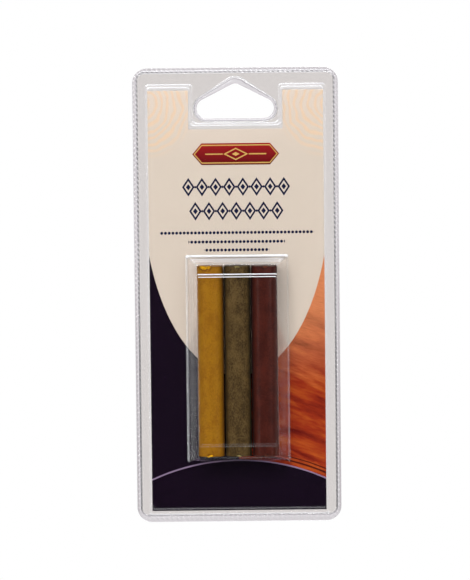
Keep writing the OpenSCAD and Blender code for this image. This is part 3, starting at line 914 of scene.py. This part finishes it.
def veneerColour(tree, x, z):  # straight grain with a slow wander and dark pores

    def drawn(across, slant, up, detail, roughness):  # noise drawn out along the grain
        stretched = put(tree, "CombineXYZ", {
            0: maths(tree, "MULTIPLY", x, across),
            2: maths(tree, "MULTIPLY_ADD", x, slant, maths(tree, "MULTIPLY", z, up)),
        })
        feeds = {"Vector": stretched.outputs[0], "Scale": 1.0, "Detail": detail, "Roughness": roughness}
        return put(tree, "TexNoise", feeds).outputs[0]

    grain = veneerGrain
    cloud, pores = drawn(*grain["cloud"]), drawn(*grain["pores"])
    colour = layer(tree, cardInk["woodDark"], cardInk["woodMid"], spread(tree, cloud, *grain["toMid"]))
    colour = layer(tree, colour, cardInk["woodLight"], spread(tree, cloud, *grain["toLight"]))
    pale = spread(tree, maths(tree, "MULTIPLY_ADD", cloud, grain["paleWander"], z), *grain["paleLevel"])
    colour = layer(tree, colour, cardInk["woodPale"], pale)
    darker = spread(tree, pores, *grain["poreEdge"], 0.0, grain["poreStrength"])
    return layer(tree, colour, cardInk["woodDark"], darker)


# the wax sticks

stick = {
    "size": 10.8,
    "length": 79.0,
    "edge": 3.0,
    "bevel": 0.6,
    "crown": 0.28,  # how far the front and back round off, as a share of the half size
    "middleDepth": 5.95,
    "foot": -150.604,
    "chipHalf": (3.4, 1.9),  # half width and reach of the rough spot where the sprue broke off
    "chipDepth": 0.45,
    "chipSide": 0.35,  # only in front of this share of the half size
    "chipSteep": 2.0,
    "chipGrain": 0.9,
    "wave": 0.05,
    "waveGrain": 0.12,
    "cuts": 35,
    "sharpAngle": 50,
}
# x, whether the left and the right flank get painted shade, place and size of the chip at the top and at the
# foot
waxLooks = {
    "ochre": {
        "x": -11.2, "flankShade": (0, 1), "chips": ((-1.9, 1.0), (-0.5, 0.6)),
        "base": ink(168, 117, 22), "deep": ink(143, 91, 12), "speck": ink(104, 64, 14),
        "chip": ink(240, 178, 16), "hollowShade": ink(112, 62, 12),
        "rough": 0.36, "gloss": 0.12, "grain": 0.8, "specks": 0.4,
    },
    "olive": {
        "x": 0.0, "flankShade": (1, 1), "chips": ((-0.2, 0.55), (0.2, 0.5)),
        "base": ink(104, 82, 46), "deep": ink(60, 45, 21), "speck": ink(34, 25, 14),
        "chip": ink(160, 142, 88), "hollowShade": ink(50, 38, 20),
        "rough": 0.42, "gloss": 0.12, "grain": 0.9, "specks": 0.6,
    },
    "mahogany": {
        "x": 11.2, "flankShade": (1, 0), "chips": ((0.3, 0.6), (0.3, 0.5)),
        "base": ink(86, 34, 24), "deep": ink(58, 17, 11), "speck": ink(36, 12, 10),
        "chip": ink(112, 56, 36), "hollowShade": ink(46, 16, 12),
        "rough": 0.28, "gloss": 0.32, "grain": 0.8, "specks": 0.4,
    },
}
waxTexture = {
    "stretch": (1.0, 1.0, 0.6),  # drawn out along the stick
    "cloud": (0.3, 0.6, 0.42),  # scale, roughness and share in the mottling
    "grain": (2.4, 0.7, 0.58),
    "contrast": (0.42, 0.58),
    "specks": (0.5, 0.12, 0.06),  # scale, radius and soft edge
    "bump": (0.4, 0.0002),  # strength and height
    "flank": (3.9, 5.3, 0.85),  # from the middle, where the painted shade on a flank begins and is full, and how dark
    "crumbs": (1.1, 2.6),  # scale and strength
    "torn": (1.85, 2.25),  # where a chip's hollows, in painted shade, end and its crests begin
    "ragged": (1.3, 1.7),  # a chip's edge
    "chipFade": 0.3,
}


def waxGrain():  # mottling, specks and height shared by the three waxes
    group = bpy.data.node_groups.new("waxGrain", "ShaderNodeTree")
    for name in ("Mottle", "Specks", "Height"):
        group.interface.new_socket(name, in_out="OUTPUT", socket_type="NodeSocketFloat")
    result = group.nodes.new("NodeGroupOutput")
    place = objectMillimetres(group)
    drawn = put(group, "Mapping", {"Vector": place, "Scale": waxTexture["stretch"]}).outputs[0]
    clouds, grains = [
        put(group, "TexNoise", {
            "Vector": drawn, "Scale": scale, "Detail": 3.0, "Roughness": rough,
        }).outputs[0]
        for scale, rough, _ in (waxTexture["cloud"], waxTexture["grain"])
    ]
    cloudy = maths(group, "MULTIPLY", clouds, waxTexture["cloud"][2])
    mottle = maths(group, "MULTIPLY_ADD", grains, waxTexture["grain"][2], cloudy)
    scale, radius, soft = waxTexture["specks"]
    dots = put(group, "TexVoronoi", {"Vector": place, "Scale": scale, "Randomness": 1.0})
    specks = within(group, maths(group, "SUBTRACT", dots.outputs["Distance"], radius), soft)
    group.links.new(spread(group, mottle, *waxTexture["contrast"]), result.inputs["Mottle"])
    group.links.new(specks, result.inputs["Specks"])
    group.links.new(mottle, result.inputs["Height"])
    return group


def waxMaterial(name, look, grain):
    material, tree = newMaterial(name)
    made = tree.nodes.new("ShaderNodeGroup")
    made.node_tree = grain
    mottle = maths(tree, "MULTIPLY_ADD", made.outputs["Mottle"], look["grain"], (1 - look["grain"]) / 2)
    colour = layer(tree, look["deep"], look["base"], mottle)
    specks = maths(tree, "MULTIPLY", made.outputs["Specks"], look["specks"])
    colour = layer(tree, colour, look["speck"], specks)
    across = put(tree, "SeparateXYZ", {0: objectMillimetres(tree)}).outputs["X"]
    begin, full, darkest = waxTexture["flank"]
    for side, flankShade in zip((-1, 1), look["flankShade"]):  # painted shade on a flank that faces the next stick
        outward = maths(tree, "MULTIPLY_ADD", across, side, -side * look["x"])
        flank = spread(tree, outward, begin, full, 0.0, flankShade * darkest)
        colour = layer(tree, colour, look["speck"], flank)
    chip = put(tree, "Attribute", attribute_name="chip").outputs["Fac"]
    scale, strength = waxTexture["crumbs"]
    crumbs = put(tree, "TexNoise", {"Vector": objectMillimetres(tree), "Scale": scale, "Detail": 3.0})
    piled = maths(tree, "MULTIPLY_ADD", crumbs.outputs[0], strength, chip)
    torn = layer(tree, look["hollowShade"], look["chip"], spread(tree, piled, *waxTexture["torn"]))
    faded = spread(tree, chip, 0.0, waxTexture["chipFade"])
    ragged = maths(tree, "MULTIPLY", spread(tree, piled, *waxTexture["ragged"]), faded)
    colour = layer(tree, colour, torn, ragged)
    strength, depth = waxTexture["bump"]
    bump = put(tree, "Bump", {"Height": made.outputs["Height"], "Strength": strength, "Distance": depth})
    wax = put(tree, "BsdfPrincipled", {
        "Base Color": colour, "Roughness": look["rough"], "Normal": bump.outputs[0],
    })
    wax.inputs["Specular IOR Level"].default_value = look["gloss"]
    finishMaterial(tree, wax)
    return material


def buildStick(name, look, material):
    half, edge, length = stick["size"] / 2, stick["edge"], stick["length"]
    bm = bmesh.new()
    mark = bm.verts.layers.float.new("chip")
    bmesh.ops.create_cube(bm, size=2.0)
    bmesh.ops.subdivide_edges(bm, edges=bm.edges, cuts=stick["cuts"], use_grid_fill=True)
    for v in bm.verts:
        x, y, along = v.co
        flat = [abs(c) * half - (half - edge) for c in (x, y)]
        if min(flat) > 0:  # square corners of the section become round
            scale = max(flat) / math.hypot(*flat)
            x = math.copysign(half - edge + flat[0] * scale, x)
            y = math.copysign(half - edge + flat[1] * scale, y)
        else:
            x, y = x * half, y * half
        y *= 1 - stick["crown"] * (x / half) ** 2
        v.co = Vector((x, y, math.sin(along * math.pi / 2) * length / 2))
    rims = [e for e in bm.edges if all(abs(v.co.z) > length / 2 - 1e-4 for v in e.verts)
            and any(abs(f.normal.z) < 0.5 for f in e.link_faces)]
    bmesh.ops.bevel(
        bm, geom=rims, offset=stick["bevel"], affect="EDGES", segments=3, profile=0.5, material=-1,
    )
    bm.normal_update()
    chipX, chipZ = stick["chipHalf"]
    for v in bm.verts:
        seed = v.co + Vector((look["x"] * 3, 0, 0))  # each stick is torn and waved in its own way
        chipAt, chipSize = look["chips"][0 if v.co.z > 0 else 1]
        away = math.hypot((v.co.x - chipAt) / chipX, (length / 2 - abs(v.co.z)) / chipZ)
        spot = max(0, 1 - away / chipSize)
        spot *= 1 if v.co.y < -half * stick["chipSide"] else 0
        v[mark] = min(1, spot * stick["chipSteep"])
        rough, wavy = [0.5 + 0.5 * noise.noise(seed * stick[grain]) for grain in ("chipGrain", "waveGrain")]
        v.co -= v.normal * (stick["chipDepth"] * v[mark] * rough + stick["wave"] * wavy)
    middle = Vector((look["x"], -stick["middleDepth"], stick["foot"] + length / 2))
    for v in bm.verts:
        v.co = (v.co + middle) * mm
    bmesh.ops.recalc_face_normals(bm, faces=bm.faces)
    piece = newPiece(name + "Stick", bm, material)
    smoothPiece(piece, stick["sharpAngle"])
    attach(piece, name + "_stick")
    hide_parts(name + "_stick")


addCamera(photoCamera)
for lampName, (place, size, watts) in studio["lamps"].items():
    addLamp(lampName, place, size, watts)
addWorld(studio)
addFloor(studio)
print("studio ready")

ripple = sheetRipple()
buildFrontShell(clearPlastic("clearFront", clearLook, ripple))
buildBackShell(clearPlastic("clearBack", backLook, ripple))
print("sheets ready")

buildWeld(
    "edgeWeld", edgeWeld, boxArcs(*edgeWeld["outer"]), boxArcs(*edgeWeld["inner"]),
    "perimeter_weld", clearPlastic("weldedEdge", weldLook, ripple),
)
buildWeld(
    "hangHoleRim", rimWeld, hangArcs(0, 0), hangArcs(hangHole["rim"], hangHole["topRim"]),
    "hang_hole_weld", clearPlastic("weldedRim", rimLook, ripple),
)
print("welds ready")

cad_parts["card_insert"].data.materials.clear()
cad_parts["card_insert"].data.materials.append(printedCard())
print("card ready")

sharedGrain = waxGrain()
for colourName, look in waxLooks.items():
    buildStick(colourName, look, waxMaterial(colourName + "Wax", look, sharedGrain))
print("sticks ready")

bpy.context.scene.view_settings.view_transform = "Standard"
